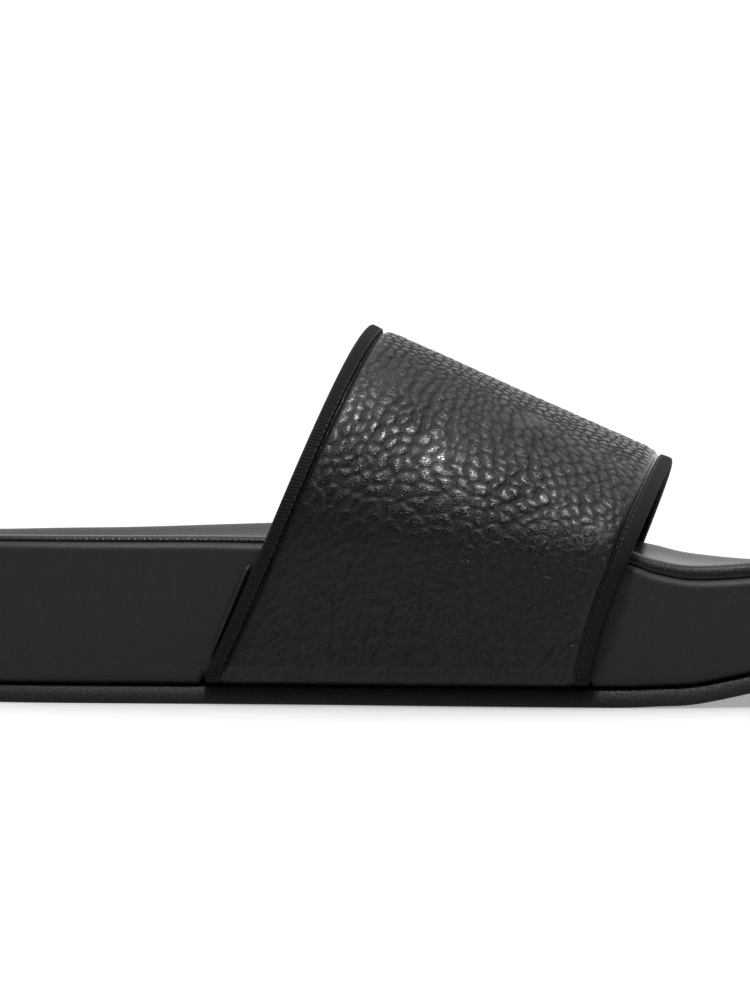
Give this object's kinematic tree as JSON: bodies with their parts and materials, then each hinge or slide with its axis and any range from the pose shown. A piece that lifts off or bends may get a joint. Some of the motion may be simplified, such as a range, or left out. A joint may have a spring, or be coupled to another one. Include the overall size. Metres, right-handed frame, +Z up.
{
  "type": "slide sandal",
  "caption": "Open-toed, open-backed slide sandal for a right foot: one wide grained leather strap with taped edges over a thick leather-wrapped sole with a contoured footbed.",
  "frame": {"origin": "on the ground, under the middle of the sandal's bounding box", "axes": "+X towards the toe, +Y towards the inner (medial) side of the foot, +Z up"},
  "size_m": [0.29, 0.1118, 0.0997],
  "materials": {
    "outsole": "matte black rubber",
    "midsole": "smooth charcoal leather wrap, low sheen",
    "footbed": "smooth charcoal leather, satin",
    "strap": "black tumbled leather with a large grain, semi-gloss",
    "binding_rear": "black ribbed woven tape",
    "binding_front": "black ribbed woven tape"
  },
  "bodies": {
    "root": {"outsole": "outsole", "midsole": "midsole", "footbed": "footbed", "strap": "strap", "binding_rear": "binding_rear", "binding_front": "binding_front"}
  },
  "joints": []
}
